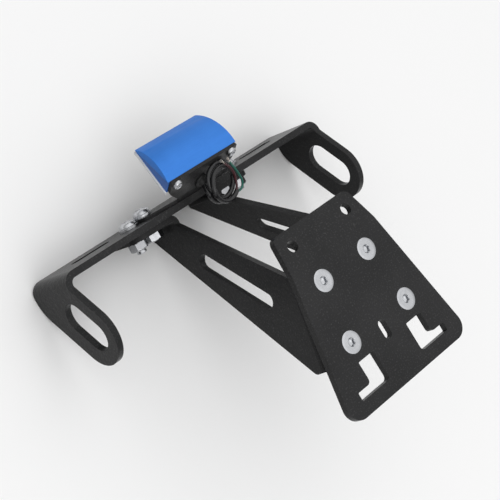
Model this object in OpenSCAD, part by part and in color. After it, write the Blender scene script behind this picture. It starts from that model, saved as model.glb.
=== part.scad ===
// Bolt-on rear plate and lamp holder: a bent top plate, two slotted arms, a bent
// indicator bar with slotted ears, a small number plate lamp and its coiled lead.
// Units are millimetres. X runs to the right ear, Y to the rear, Z up through the plate.
// The origin is on the plate's top face, on its centre line, between the four screws.

/* [Plate] */
// thickness of the top plate
plate_t = 4; // [3:0.1:6]
// width of the plate at its front edge
plate_w = 100.9; // [80:0.1:130]
// half-width lost for each millimetre back from the front edge
plate_taper = 0.201; // [0.1:0.001:0.25]
// length of the flat part, front edge to bend line
plate_flat = 81.6; // [78:0.1:100]
// length of the rear flap along its slope
flap_l = 21.1; // [18:0.1:30]
// angle the flap is bent down
flap_angle = 11; // [5:0.5:20]
// inside radius of the flap's bend
flap_r = 4; // [2:0.5:8]
// radius of the plate's two front corners
corner_front_r = 8; // [3:0.5:12]
// radius of the flap's two rear corners
corner_rear_r = 5; // [2:0.5:8]
// diameter of the two holes in the flap
flap_hole_d = 6.5; // [5:0.1:8]
// distance of each flap hole from the centre line
flap_hole_x = 21.75; // [12:0.05:24]
// distance of the flap holes behind the bend line
flap_hole_back = 12.1; // [8:0.1:14]
// width of the small slot on the centre line
slot_w = 5.5; // [4:0.1:7]
// full length of the small slot
slot_l = 11; // [8:0.5:16]
// distance of the small slot's centre from the front edge
slot_y = 30; // [24:0.5:40]

/* [Hooked windows] */
// distance of each window's inner side from the centre line
window_in = 14.1; // [10:0.1:17]
// width of the window's rear part
window_w = 12.5; // [8:0.1:14]
// distance of the window's front side from the front edge
window_front = 7.8; // [6:0.1:9]
// length of the window, front to rear
window_l = 17.1; // [13:0.1:18]
// full width of the window's front part
window_leg = 22.9; // [17:0.1:25]
// depth of the window's front part
window_leg_l = 4.8; // [4.2:0.1:7]

/* [Arms] */
// thickness of the arms
arm_t = 4; // [3:0.1:5]
// inside radius of the arms' bends
arm_r = 1.5; // [1:0.1:3]
// distance of each arm's outer face from the centre line, at the front edge
arm_x = 51.4; // [50:0.1:53]
// angle the arms close in toward the rear
arm_toe = 14.7; // [13:0.1:16]
// angle the arms lean outward toward their lower edge
arm_lean = 2.5; // [1:0.1:4]
// distance of the arms' front edge from the plate's front edge
arm_front = 30.5; // [27:0.1:33]
// distance of the rear end of the arms' top flange from the plate's front edge
arm_back = 78.5; // [75:0.1:81]
// inward width of the top flange, from the arm's outer face
arm_flange_w = 26; // [24:0.5:28]
// slope of the arms' upper edge
arm_upper_angle = 56.7; // [55:0.1:59]
// slope of the arms' lower edge
arm_lower_angle = 45.1; // [44:0.1:46]
// distance below the top plate of the upper edge, where it passes 96 mm back
arm_upper_z = 32.4; // [30:0.1:35]
// distance below the top plate of the lower edge, where it passes 96 mm back
arm_lower_z = 79.5; // [77:0.1:81]
// radius of the lower front corner
arm_corner_r = 4.5; // [2:0.5:5]
// width of the long slot in each arm
arm_slot_w = 8.8; // [6:0.1:10]
// distance of the slot's upper end from the plate's front edge
arm_slot_front = 74; // [68:0.5:80]
// distance of the slot's lower end from the plate's front edge
arm_slot_back = 106.5; // [100:0.5:110]
// distance of the slot below the middle of the arm's side
arm_slot_down = 3.6; // [2:0.1:5]
// width of the rear flange that the bolts pass through
arm_foot_w = 25.5; // [25:0.5:28]

/* [Indicator bar] */
// thickness of the bar
bar_t = 4; // [3:0.1:5]
// full width over the two ears
bar_w = 206.4; // [190:0.1:230]
// height of the bar's face
bar_h = 38.6; // [36:0.1:44]
// distance of the bar's upper rear edge behind the plate's front edge
bar_y = 142.4; // [140:0.1:146]
// depth of the bar's upper rear edge below the plate's top face
bar_z = 79.4; // [77:0.1:82]
// lean of the bar's face, top edge forward
bar_tilt = 5.6; // [3:0.1:8]
// inside radius of the bar's bends
bar_r = 3.5; // [2:0.5:5]
// radius of the rounded corner under each ear
ear_low_r = 20; // [10:1:22]
// width of an ear
ear_w = 35.4; // [32:0.1:38]
// distance of the ear's tip centre in front of the bar's rear face
ear_reach = 36.5; // [34:0.5:46]
// slope of the ears
ear_angle = 38.5; // [34:0.5:42]
// width of the slot in each ear
ear_slot_w = 17.6; // [12:0.1:20]
// full length of the slot in each ear
ear_slot_l = 33; // [26:0.5:36]
// distance of each number plate slot's middle from the centre line
plate_slot_x = 68; // [60:0.5:75]
// full length of each number plate slot
plate_slot_l = 27; // [16:0.5:30]
// width of the number plate slots
plate_slot_w = 6.5; // [5:0.1:8]

/* [Fasteners] */
// thread diameter of the screws and bolts
screw_d = 6; // [5:0.1:6]
// clearance hole diameter
screw_hole_d = 6.5; // [6.4:0.1:7]
// head diameter of the countersunk screws
sunk_d = 12.5; // [11:0.1:13]
// half distance between the two rear plate screws
screw_rear_x = 17.85; // [16:0.05:19]
// distance of the rear plate screws from the front edge
screw_rear_y = 69.9; // [66:0.1:71]
// half distance between the two front plate screws
screw_front_x = 23.35; // [22:0.05:26]
// distance of the front plate screws from the front edge
screw_front_y = 35.5; // [34:0.1:44]
// length of the plate screws
screw_l = 20; // [18:1:25]
// width across flats of the nuts
nut_af = 10; // [9:0.1:10]
// height of the plain nuts
nut_h = 5; // [4:0.1:6]
// diameter of the washers
washer_d = 12; // [11:0.1:12.5]
// thickness of the washers
washer_t = 1.6; // [1:0.1:2]
// head diameter of the round-headed arm bolts
head_d = 10.5; // [9.5:0.1:11.5]
// head height of the arm bolts
head_h = 3; // [2.5:0.1:3.6]
// distance of the inner arm bolts from the centre line
bolt_in_x = 28.9; // [28.8:0.1:30]
// distance of the outer arm bolts from the centre line
bolt_out_x = 40.8; // [40.6:0.1:42]
// depth of the arm bolts below the bar's upper edge
bolt_down = 18; // [16:0.5:24]

/* [Lamp] */
// length of the lamp along the bar
lamp_l = 54.6; // [48:0.1:62]
// depth of the lamp bracket's sheet
bracket_t = 2; // [1.5:0.1:2.5]
// width of the lamp bracket
bracket_w = 68; // [64:0.5:76]
// lean of the bracket's upper part, from the bar's face
bracket_angle = 34; // [28:0.5:40]
// length of the bracket's upper part
bracket_up = 21.5; // [18:0.1:28]
// thread diameter of the lamp screws
lamp_screw_d = 3; // [2.5:0.1:4]
// distance of each lamp screw from the centre line
lamp_screw_x = 21.6; // [18:0.1:24]

/* [Lead] */
// diameter of the lamp's lead
lead_d = 3.4; // [2.5:0.1:4]

/* [Hidden] */
fs = 96;
origin_y = (screw_rear_y + screw_front_y) / 2;
toe_c = cos(arm_toe);
flap_out = flap_r + plate_t;
flap_tan = flap_out * tan(flap_angle / 2);
flap_c = [plate_flat - flap_tan, -flap_out];
arm_out = arm_r + arm_t;
web_top = -plate_t - arm_out;
s_front = arm_front / toe_c;
s_back = arm_back / toe_c;
s_ref = 96 / toe_c;
up_m = -tan(arm_upper_angle) * toe_c;
low_m = -tan(arm_lower_angle) * toe_c;
bend_c = [-arm_out, 0, web_top];
bar_n = [sin(arm_toe) * cos(bar_tilt), cos(arm_toe) * cos(bar_tilt), sin(bar_tilt)];
web_n = [bar_n[0] * cos(arm_lean) + bar_n[2] * sin(arm_lean), bar_n[1], bar_n[2] * cos(arm_lean) - bar_n[0] * sin(arm_lean)];
lean = atan2(web_n[2], web_n[1]);
foot_turn = asin(web_n[0]);
foot_face = cos(bar_tilt) * bar_y - sin(bar_tilt) * bar_z - bar_t - bar_n * bend_c + web_n * bend_c;
foot_q = (foot_face - arm_out - arm_r * sin(foot_turn) - 0.002) / cos(foot_turn);
foot_high = (-arm_upper_z + up_m * (foot_q * cos(lean) - s_ref) - foot_q * sin(lean)) / (cos(lean) + up_m * sin(lean));
foot_low = (-arm_lower_z + low_m * (foot_q * cos(lean) - s_ref) - foot_q * sin(lean)) / (cos(lean) + low_m * sin(lean));
bar_out = bar_r + bar_t;
ear_hw = ear_w / 2;
ear_dir = [-cos(ear_angle), sin(ear_angle)];
ear_up = [sin(ear_angle), cos(ear_angle)];
ear_top_n = -ear_reach + ear_hw * sin(ear_angle);
ear_c = [-ear_reach, (-bar_out - 0.5 - ear_top_n) * tan(ear_angle) - ear_hw * cos(ear_angle)];
ear_run = (ear_c[1] - ear_hw * cos(ear_angle) + bar_h) / sin(ear_angle);
plate_slot_down = 22;
nut_gap = bar_t + arm_t + 0.002;
bracket_r = 2;
leg_w = 52;
leg_c = [bracket_t + bracket_r, -1];
leg_s = leg_c + bracket_r * [-cos(bracket_angle), sin(bracket_angle)];
lamp_d = 29.5;
lamp_top = bracket_up - 0.3;
lamp_tip = lamp_top - 1.7;
lamp_low = lamp_top - 6;
lamp_taper = 3.1;
lamp_r = 24;
lamp_wall = 1.6;
lens_t = 1.2;
lamp_screw_e = lamp_top - 2.7;
exit_e = 8;
lead_m = 7;
lamp_mid = [lamp_d / 2, (lamp_top + lamp_tip) / 2];
lamp_half = norm([lamp_d, lamp_top - lamp_tip]) / 2;
lamp_perp = unit([lamp_top - lamp_tip, lamp_d]);
lamp_c = lamp_mid - lamp_perp * sqrt(lamp_r * lamp_r - lamp_half * lamp_half);
coil_r = 11.2;
coil_pos = [11, -4.6, 13.2];
lead_bend = 5.8;
lead_path = concat([[0, lead_m, lamp_top - 1.8]], [for (a = [0 : 22.5 : 90]) [0, lead_m - lead_bend + lead_bend * cos(a),
                    exit_e + lead_bend - lead_bend * sin(a)]], [[0, -3.4, exit_e]]);
lead_join = [[0, 1, 9.6], [0, -1.8, 9.8], [0.2, -4.5, 9.9]];

function unit(v) = v / norm(v);
function on_arc(c, r, a) = c + r * [sin(a), cos(a)];
function up_z(s) = -arm_upper_z + up_m * (s - s_ref);
function low_z(s) = -arm_lower_z + low_m * (s - s_ref);
function leg_pt(p) = [p[0], leg_s[0] + p[1] * cos(bracket_angle) + p[2] * sin(bracket_angle),
                      leg_s[1] - p[1] * sin(bracket_angle) + p[2] * cos(bracket_angle)];
function on_foot(q, a) = [q * cos(lean) - a * sin(lean), q * sin(lean) + a * cos(lean)];
function leg_end(m) = leg_s + [m * cos(bracket_angle) + bracket_up * sin(bracket_angle),
                             -m * sin(bracket_angle) + bracket_up * cos(bracket_angle)];
function arc_pt(c, r, a) = c + r * [cos(a), sin(a)];
function turn_of(v) = atan2(v[1], v[0]);
function swing(a, b) = b - a - 360 * round((b - a) / 360);
function fillet(p, u, v, r) = let (h = acos(u * v) / 2, c = p + unit(u + v) * (r / sin(h)), a = turn_of(p + u * (r / tan(h)) - c),
  b = turn_of(p + v * (r / tan(h)) - c)) arc_pts(c, r, a, a + swing(a, b), 8);
function smooth(pts, radii) = [for (i = [0 : len(pts) - 1]) each radii[i] == 0 ? [pts[i]] :
  fillet(pts[i], unit(pts[(i + len(pts) - 1) % len(pts)] - pts[i]), unit(pts[(i + 1) % len(pts)] - pts[i]), radii[i])];
function arc_pts(c, r, a0, a1, n) = [for (k = [0 : n]) arc_pt(c, r, a0 + (a1 - a0) * k / n)];

// Frames: the plate's front edge, the bar's upper rear edge, the bracket's upper part.
module place() translate([0, -origin_y, 0]) children();
module in_bar() place() translate([0, bar_y, -bar_z]) rotate([bar_tilt, 0, 0]) children();
module in_leg() in_bar() translate([0, leg_s[0], leg_s[1]]) rotate([-bracket_angle, 0, 0]) children();
module pair() { children(); mirror([1, 0, 0]) children(); }
// A flat shape drawn in Y and Z, standing across X.
module across(x0, x1) translate([x0, 0, 0]) rotate([90, 0, 90]) linear_extrude(x1 - x0) children();
// A flat shape drawn in X and Z, from y0 to y1.
module along(y0, y1) translate([0, y1, 0]) rotate([90, 0, 0]) linear_extrude(y1 - y0) children();

module corner_cut(p, a, b, r) {
  u = unit(a - p);
  v = unit(b - p);
  h = acos(u * v) / 2;
  c = p + unit(u + v) * (r / sin(h));
  t1 = p + u * (r / tan(h));
  t2 = p + v * (r / tan(h));
  difference() {
    polygon([c, t1 + (t1 - c) / r, p + (p - c) * (2 / norm(p - c)), t2 + (t2 - c) / r]);
    translate(c) circle(r = r, $fn = fs);
  }
}

module rounded(pts, radii) difference() {
  polygon(pts);
  for (i = [0 : len(pts) - 1]) if (radii[i] > 0)
    corner_cut(pts[i], pts[(i + len(pts) - 1) % len(pts)], pts[(i + 1) % len(pts)], radii[i]);
}

module inner_fillet(p, a, b, r) {
  u = unit(a - p);
  v = unit(b - p);
  h = acos(u * v) / 2;
  c = p + unit(u + v) * (r / sin(h));
  difference() {
    polygon([p - unit(u + v) * 0.5, p + u * (r / tan(h)), p + v * (r / tan(h))]);
    translate(c) circle(r = r, $fn = fs);
  }
}

module ring_part(r1, r2, a0, a1) intersection() {
  difference() { circle(r = r2, $fn = fs); circle(r = r1, $fn = fs); }
  polygon([[0, 0], 3 * r2 * [cos(a0), sin(a0)], 3 * r2 * [cos((a0 + a1) / 2), sin((a0 + a1) / 2)],
           3 * r2 * [cos(a1), sin(a1)]]);
}

module stadium(p, q, w) {
  d = unit(q - p) * w / 2;
  e = [-d[1], d[0]];
  polygon([p + e, q + e, q - e, p - e]);
  translate(p) circle(d = w, $fn = fs);
  translate(q) circle(d = w, $fn = fs);
}

module at_plate_screws() for (x = [-1, 1]) {
  translate([x * screw_rear_x, screw_rear_y, 0]) children();
  translate([x * screw_front_x, screw_front_y, 0]) children();
}

module at_arm_bolts() for (x = [-bolt_out_x, -bolt_in_x, bolt_in_x, bolt_out_x])
  translate([x, 0, -bolt_down]) rotate([90, 0, 0]) children();

module hex_nut(af, h, bore) difference() {
  intersection() {
    cylinder(d = af / cos(30), h = h, $fn = 6);
    union() {
      cylinder(d = af * 1.08, h = h / 2, $fn = fs);
      translate([0, 0, h / 2]) cylinder(d1 = af * 1.16, d2 = af * 0.98, h = h / 2, $fn = fs);
    }
  }
  translate([0, 0, -1]) cylinder(d = bore, h = h + 2, $fn = fs);
}

module washer(d, t, bore) difference() {
  cylinder(d = d, h = t, $fn = fs);
  translate([0, 0, -1]) cylinder(d = bore, h = t + 2, $fn = fs);
}

module plate_outline() {
  back = plate_flat + flap_l * cos(flap_angle);
  half = plate_w / 2;
  rounded([[-half, 0], [half, 0], [half - plate_taper * back, back], [-half + plate_taper * back, back]],
          [corner_front_r, corner_front_r, corner_rear_r, corner_rear_r]);
}

module window_shape() {
  x1 = window_in + window_w;
  x2 = window_in + window_leg;
  y1 = window_front + window_leg_l;
  rounded([[window_in, window_front], [x2, window_front], [x2, y1], [x1, y1], [x1, window_front + window_l],
           [window_in, window_front + window_l]], [2.5, 0.6, 0.6, 0, 0.6, 0.6]);
  inner_fillet([x1, y1], [x2, y1], [x1, window_front + window_l], 2.5);
}

module mounting_plate() place() color([0.04, 0.04, 0.045]) difference() {
  intersection() {
    across(-plate_w, plate_w) polygon(concat(
      [[0, 0]], [for (k = [0 : 4]) on_arc(flap_c, flap_out, flap_angle * k / 4)],
      [on_arc(flap_c, flap_out, flap_angle) + (flap_l - flap_tan) * [cos(flap_angle), -sin(flap_angle)],
       on_arc(flap_c, flap_r, flap_angle) + (flap_l - flap_tan) * [cos(flap_angle), -sin(flap_angle)]],
      [for (k = [4 : -1 : 0]) on_arc(flap_c, flap_r, flap_angle * k / 4)], [[0, -plate_t]]));
    translate([0, 0, -40]) linear_extrude(60) plate_outline();
  }
  at_plate_screws() {
    translate([0, 0, -plate_t - 1]) cylinder(d = screw_hole_d, h = plate_t + 2, $fn = fs);
    translate([0, 0, -(sunk_d - screw_hole_d) / 2]) cylinder(d1 = screw_hole_d, d2 = sunk_d + 2, h = (sunk_d - screw_hole_d) / 2 + 1, $fn = fs);
  }
  translate([0, 0, -plate_t - 1]) linear_extrude(plate_t + 2) {
    stadium([0, slot_y - (slot_l - slot_w) / 2], [0, slot_y + (slot_l - slot_w) / 2], slot_w);
    window_shape();
    mirror([1, 0]) window_shape();
  }
  pair() translate([flap_hole_x, plate_flat, 0]) rotate([-flap_angle, 0, 0])
    translate([0, flap_hole_back, -plate_t - 3]) cylinder(d = flap_hole_d, h = plate_t + 6, $fn = fs);
}

module arm_slot_shape() {
  s1 = arm_slot_front / toe_c;
  s2 = arm_slot_back / toe_c;
  stadium([s1, (up_z(s1) + low_z(s1)) / 2 - arm_slot_down], [s2, (up_z(s2) + low_z(s2)) / 2 - arm_slot_down], arm_slot_w);
}

// The arm's frame: its outer face, leaning outward about the middle of the top bend.
module in_arm() translate([arm_x, 0, 0]) rotate([0, 0, arm_toe])
  translate(bend_c) rotate([0, -arm_lean, 0]) translate(-bend_c) children();

// The arm is what three long shapes share: its top bend, its rear bend and its outline.
module arm_shape() intersection() {
  top = [-arm_out, web_top];
  flange = [-cos(arm_lean), sin(arm_lean)] * (arm_flange_w - arm_out);
  rear = [arm_r, foot_q];
  tip = [cos(foot_turn), -sin(foot_turn)] * arm_foot_w;
  translate([0, s_back + 70, 0]) rotate([90, 0, 0]) linear_extrude(s_back + 70)
    polygon(concat([[60, -170], [60, arc_pt(top, arm_out, 6)[1]]], arc_pts(top, arm_out, 6, 90 - arm_lean, 10),
      [arc_pt(top, arm_out, 90 - arm_lean) + flange, arc_pt(top, arm_r, 90 - arm_lean) + flange],
      arc_pts(top, arm_r, 90 - arm_lean, 0, 5), [[-arm_t, -170]]));
  rotate([lean, 0, 0]) translate([0, 0, -170]) linear_extrude(200)
    polygon(concat([[-60, -5], [0, -5]], arc_pts(rear, arm_r, 180, 90 - foot_turn, 5), [arc_pt(rear, arm_r, 90 - foot_turn) + tip,
      arc_pt(rear, arm_out, 90 - foot_turn) + tip], arc_pts(rear, arm_out, 90 - foot_turn, 174, 10), [[-60, arc_pt(rear, arm_out, 174)[1]]]));
  across(-50, 58) polygon(smooth([[s_front, 5], [s_back, 5], [s_back, min(up_z(s_back), 4)], on_foot(foot_q, foot_high),
    on_foot(foot_q + 40, foot_high), on_foot(foot_q + 40, foot_low), on_foot(foot_q, foot_low),
    [s_front, min(low_z(s_front), web_top - 2.8)]], [0, 0, 0, 0, 0, 0, 0, arm_corner_r]));
}

module right_arm_solid() difference() {
  in_arm() arm_shape();
  in_arm() across(-arm_t - 1, 1) arm_slot_shape();
  in_arm() for (y = [s_front, s_back]) translate([-arm_flange_w, y, -20]) rotate(45) cube([7, 7, 60], center = true);
  at_plate_screws() translate([0, 0, -plate_t - arm_t - 1]) cylinder(d = screw_hole_d, h = arm_t + 2, $fn = fs);
  translate([0, bar_y, -bar_z]) rotate([bar_tilt, 0, 0]) at_arm_bolts()
    translate([0, 0, bar_t - 0.5]) cylinder(d = screw_hole_d, h = arm_t + 2, $fn = fs);
}

module right_arm() place() color([0.04, 0.04, 0.045]) right_arm_solid();
module left_arm() place() color([0.04, 0.04, 0.045]) mirror([1, 0, 0]) right_arm_solid();

module ear_shape() difference() {
  union() {
    rounded([[-bar_out, 0], [-bar_out - 0.5, 0], ear_c + ear_hw * ear_up, ear_c - ear_hw * ear_up,
             ear_c - ear_hw * ear_up - ear_run * ear_dir, [-bar_out, -bar_h]], [0, 0, 0, 0, ear_low_r, 0]);
    translate(ear_c) circle(r = ear_hw, $fn = fs);
  }
  front = ear_c + 1 * ear_dir + 1.3 * ear_up;
  stadium(front, front - (ear_slot_l - ear_slot_w) * ear_dir, ear_slot_w);
}

module indicator_bar() in_bar() color([0.04, 0.04, 0.045]) {
  flat = bar_w / 2 - bar_out;
  difference() {
    along(-bar_t, 0) translate([-flat, -bar_h]) square([2 * flat, bar_h]);
    along(-bar_t - 1, 1) for (x = [-1, 1])
      stadium([x * plate_slot_x - (plate_slot_l - plate_slot_w) / 2, -plate_slot_down],
              [x * plate_slot_x + (plate_slot_l - plate_slot_w) / 2, -plate_slot_down], plate_slot_w);
    at_arm_bolts() translate([0, 0, -1]) cylinder(d = screw_hole_d, h = bar_t + 2, $fn = fs);
  }
  pair() {
    translate([flat, -bar_out, -bar_h]) linear_extrude(bar_h) ring_part(bar_r, bar_out, 0, 90);
    across(bar_w / 2 - bar_t, bar_w / 2) ear_shape();
  }
}

module plate_screws() place() color([0.75, 0.76, 0.78]) at_plate_screws() difference() {
  union() {
    translate([0, 0, -(sunk_d - screw_d) / 2]) cylinder(d1 = screw_d, d2 = sunk_d, h = (sunk_d - screw_d) / 2, $fn = fs);
    translate([0, 0, -screw_l]) cylinder(d = screw_d, h = screw_l - 1, $fn = fs);
  }
  translate([0, 0, -2.6]) cylinder(d = 4 / cos(30), h = 4, $fn = 6);
}

module plate_washers() place() color([0.7, 0.71, 0.73]) at_plate_screws()
  translate([0, 0, -plate_t - arm_t - washer_t]) washer(washer_d, washer_t, screw_hole_d);

module plate_nuts() place() color([0.7, 0.71, 0.73]) at_plate_screws()
  translate([0, 0, -plate_t - arm_t - washer_t - nut_h]) hex_nut(nut_af, nut_h, screw_d);

module arm_bolts() in_bar() color([0.72, 0.73, 0.75]) for (x = [-bolt_out_x, -bolt_in_x, bolt_in_x, bolt_out_x]) {
  back = abs(x) < (bolt_in_x + bolt_out_x) / 2 ? bracket_t + washer_t : washer_t;
  translate([x, back, -bolt_down]) rotate([90, 0, 0]) difference() {
    union() {
      translate([0, 0, -1.2]) cylinder(d = head_d, h = 1.2, $fn = fs);
      translate([0, 0, -head_h]) cylinder(d1 = head_d * 0.62, d2 = head_d, h = head_h - 1.2, $fn = fs);
      translate([0, 0, -0.5]) cylinder(d = screw_d, h = back + nut_gap + nut_h + 1, $fn = fs);
    }
    translate([0, 0, -head_h - 1]) cylinder(d = 4 / cos(30), h = 2.6, $fn = 6);
  }
}

module arm_bolt_washers() in_bar() color([0.72, 0.73, 0.75]) for (x = [-bolt_out_x, -bolt_in_x, bolt_in_x, bolt_out_x])
  translate([x, (abs(x) < (bolt_in_x + bolt_out_x) / 2 ? bracket_t : 0) + washer_t, -bolt_down]) rotate([90, 0, 0]) washer(washer_d, washer_t, screw_hole_d);

module arm_nuts() in_bar() color([0.72, 0.73, 0.75]) at_arm_bolts()
  translate([0, 0, nut_gap]) hex_nut(nut_af, nut_h, screw_d);

module lamp_bracket() in_bar() color([0.03, 0.03, 0.035]) difference() {
  intersection() {
    across(-bracket_w, bracket_w) polygon(concat([[0, -bolt_down - 9]], arc_pts(leg_c, bracket_r + bracket_t, 180, 180 - bracket_angle, 4),
      [leg_end(-bracket_t), leg_end(0)], arc_pts(leg_c, bracket_r, 180 - bracket_angle, 180, 3), [[bracket_t, -bolt_down - 9]]));
    along(-1, 60) polygon(smooth([[-bracket_w / 2, -bolt_down - 10], [bracket_w / 2, -bolt_down - 10], [bracket_w / 2, -bolt_down + 8],
      [leg_w / 2, leg_c[1]], [leg_w / 2, 40], [-leg_w / 2, 40], [-leg_w / 2, leg_c[1]], [-bracket_w / 2, -bolt_down + 8]], [0, 0, 3, 0, 0, 0, 0, 3]));
  }
  at_arm_bolts() translate([0, 0, -bracket_t - 1]) cylinder(d = screw_hole_d, h = bracket_t + 2, $fn = fs);
  translate([0, leg_s[0], leg_s[1]]) rotate([-bracket_angle, 0, 0]) {
    for (x = [-1, 1]) translate([x * lamp_screw_x, 1, lamp_screw_e]) rotate([90, 0, 0]) cylinder(d = lamp_screw_d + 0.4, h = bracket_t + 2, $fn = fs);
    translate([0, 1, exit_e]) rotate([90, 0, 0]) cylinder(d = lead_d + 3, h = bracket_t + 2, $fn = fs);
  }
}

module lamp_plan(inset) polygon([[-lamp_l / 2 + inset, 0], [lamp_l / 2 - inset, 0], [lamp_l / 2 - lamp_taper - inset, lamp_d + 0.5],
                                 [-lamp_l / 2 + lamp_taper + inset, lamp_d + 0.5]]);

module dome_shape(r) intersection() {
  translate(lamp_c) circle(r = r, $fn = 180);
  polygon([[0, lamp_top], [lamp_d, lamp_tip], [lamp_d + 6, lamp_top + 12], [0, lamp_top + 12]]);
}

module lamp_cover() in_leg() color([0.13, 0.38, 0.85]) difference() {
  intersection() {
    across(-lamp_l / 2, lamp_l / 2) dome_shape(lamp_r);
    linear_extrude(60) lamp_plan(0);
  }
  intersection() {
    across(-lamp_l / 2, lamp_l / 2) translate([0, -0.001]) intersection() {
      translate(lamp_c) circle(r = lamp_r - lamp_wall, $fn = 180);
      polygon([[lamp_wall, lamp_top - 2], [lamp_d, lamp_tip - 2], [lamp_d + 6, lamp_top + 12], [lamp_wall, lamp_top + 12]]);
    }
    linear_extrude(60) lamp_plan(lamp_wall);
  }
}

module lamp_body() in_leg() color([0.05, 0.14, 0.4]) difference() {
  intersection() {
    across(-lamp_l / 2, lamp_l / 2) polygon([[0, lamp_low + lens_t], [0, lamp_top], [lamp_d, lamp_tip], [lamp_d, lamp_tip - 0.4], [lamp_d - 1, lamp_tip - 0.6]]);
    linear_extrude(60) lamp_plan(0.6);
  }
  translate([-lamp_l / 2 + 8, 5, lamp_low - 5]) cube([lamp_l - 16, 13, 20]);
  for (x = [-1, 1]) translate([x * lamp_screw_x, 4.6, lamp_screw_e]) rotate([90, 0, 0]) cylinder(d = lamp_screw_d, h = 6, $fn = fs);
}

module lamp_lens() in_leg() color([0.92, 0.93, 0.95]) difference() {
  intersection() {
    across(-lamp_l / 2, lamp_l / 2) polygon([[0, lamp_low], [0, lamp_low + lens_t], [lamp_d - 1, lamp_tip - 0.6], [lamp_d, lamp_tip - 0.4], [lamp_d, lamp_tip - 1.4]]);
    linear_extrude(60) lamp_plan(0);
  }
  translate([0, lead_m, lamp_low - 2]) cylinder(d = lead_d + 0.4, h = 12, $fn = fs);
}

module lamp_board() in_leg() color([0.1, 0.35, 0.2])
  translate([-lamp_l / 2 + 8.5, 5.4, lamp_top - 1.6]) cube([lamp_l - 17, 12.2, 1.2]);

module lamp_leds() in_leg() color([0.95, 0.93, 0.7]) for (x = [-2 : 2])
  translate([x * 7 - 1.75, 9.7, lamp_top - 2.4]) cube([3.5, 3.5, 0.8]);

module lamp_screws() in_leg() color([0.78, 0.79, 0.8]) for (x = [-1, 1]) translate([x * lamp_screw_x, 0, lamp_screw_e]) rotate([90, 0, 0]) {
  difference() {
    translate([0, 0, bracket_t]) cylinder(d = lamp_screw_d * 2, h = 2.2, $fn = fs);
    translate([0, 0, bracket_t + 1]) cylinder(d = 2 / cos(30), h = 3, $fn = 6);
  }
  translate([0, 0, -3.2]) cylinder(d = lamp_screw_d, h = bracket_t + 3.7, $fn = fs);
}

module lead_grommet() in_leg() color([0.02, 0.02, 0.02]) translate([0, 0, exit_e]) rotate([90, 0, 0]) difference() {
  union() {
    translate([0, 0, -1]) cylinder(d = lead_d + 3, h = bracket_t + 2, $fn = fs);
    translate([0, 0, -1.2]) cylinder(d = lead_d + 5.4, h = 1.2, $fn = fs);
    translate([0, 0, bracket_t]) cylinder(d = lead_d + 5.4, h = 1.2, $fn = fs);
  }
  translate([0, 0, -3]) cylinder(d = lead_d + 0.1, h = bracket_t + 6, $fn = fs);
}

module lead_coil() in_bar() color([0.02, 0.02, 0.02]) translate(coil_pos) rotate([21, 6, 0]) rotate_extrude($fn = fs) {
  translate([coil_r - 1.55, -0.9]) circle(d = lead_d, $fn = 24);
  translate([coil_r + 1.55, -0.9]) circle(d = lead_d, $fn = 24);
  translate([coil_r, 1.8]) circle(d = lead_d, $fn = 24);
}

// A round cord through a list of points, as a ring of flat sides.
module tube(path, d, up) {
  n = 8;
  last = len(path) - 1;
  pts = [for (i = [0 : last]) let (t = unit(path[min(i + 1, last)] - path[max(i - 1, 0)]),
         a = unit(cross(t, up)), b = cross(t, a)) for (k = [0 : n - 1])
         path[i] + d / 2 * (a * cos(360 * k / n) + b * sin(360 * k / n))];
  polyhedron(pts, concat([[for (k = [0 : n - 1]) k]], [[for (k = [n - 1 : -1 : 0]) last * n + k]],
    [for (i = [0 : last - 1]) for (k = [0 : n - 1]) [i * n + k, (i + 1) * n + k, (i + 1) * n + (k + 1) % n, i * n + (k + 1) % n]]), convexity = 6);
}

module lamp_lead() in_bar() color([0.02, 0.02, 0.02])
  tube(concat([for (p = lead_path) leg_pt(p)], lead_join), lead_d, [1, 0, 0]);

module in_coil() in_bar() translate(coil_pos) rotate([21, 6, 0]) children();

module green_wire() in_coil() color([0.1, 0.4, 0.3])
  tube([for (a = [70 : -14 : -56]) [14.7 * cos(a), 14.7 * sin(a), 0.75]], 1.4, [0, 0, 1]);

module red_wire() in_coil() color([0.4, 0.08, 0.1])
  tube([for (a = [44 : -13 : -60]) [15.3 * cos(a), 15.3 * sin(a), -1.2]], 1.4, [0, 0, 1]);

mounting_plate();
left_arm();
right_arm();
indicator_bar();
plate_screws();
plate_washers();
plate_nuts();
arm_bolts();
arm_bolt_washers();
arm_nuts();
lamp_bracket();
lamp_cover();
lamp_body();
lamp_lens();
lamp_board();
lamp_leds();
lamp_screws();
lead_grommet();
lead_coil();
lamp_lead();
green_wire();
red_wire();
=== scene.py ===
"""Finish for a motorbike's tail tidy: coated sheets, steel fasteners, a blue lamp and its coiled lead."""
import math

import bmesh
import bpy
from mathutils import Matrix, Vector


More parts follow.
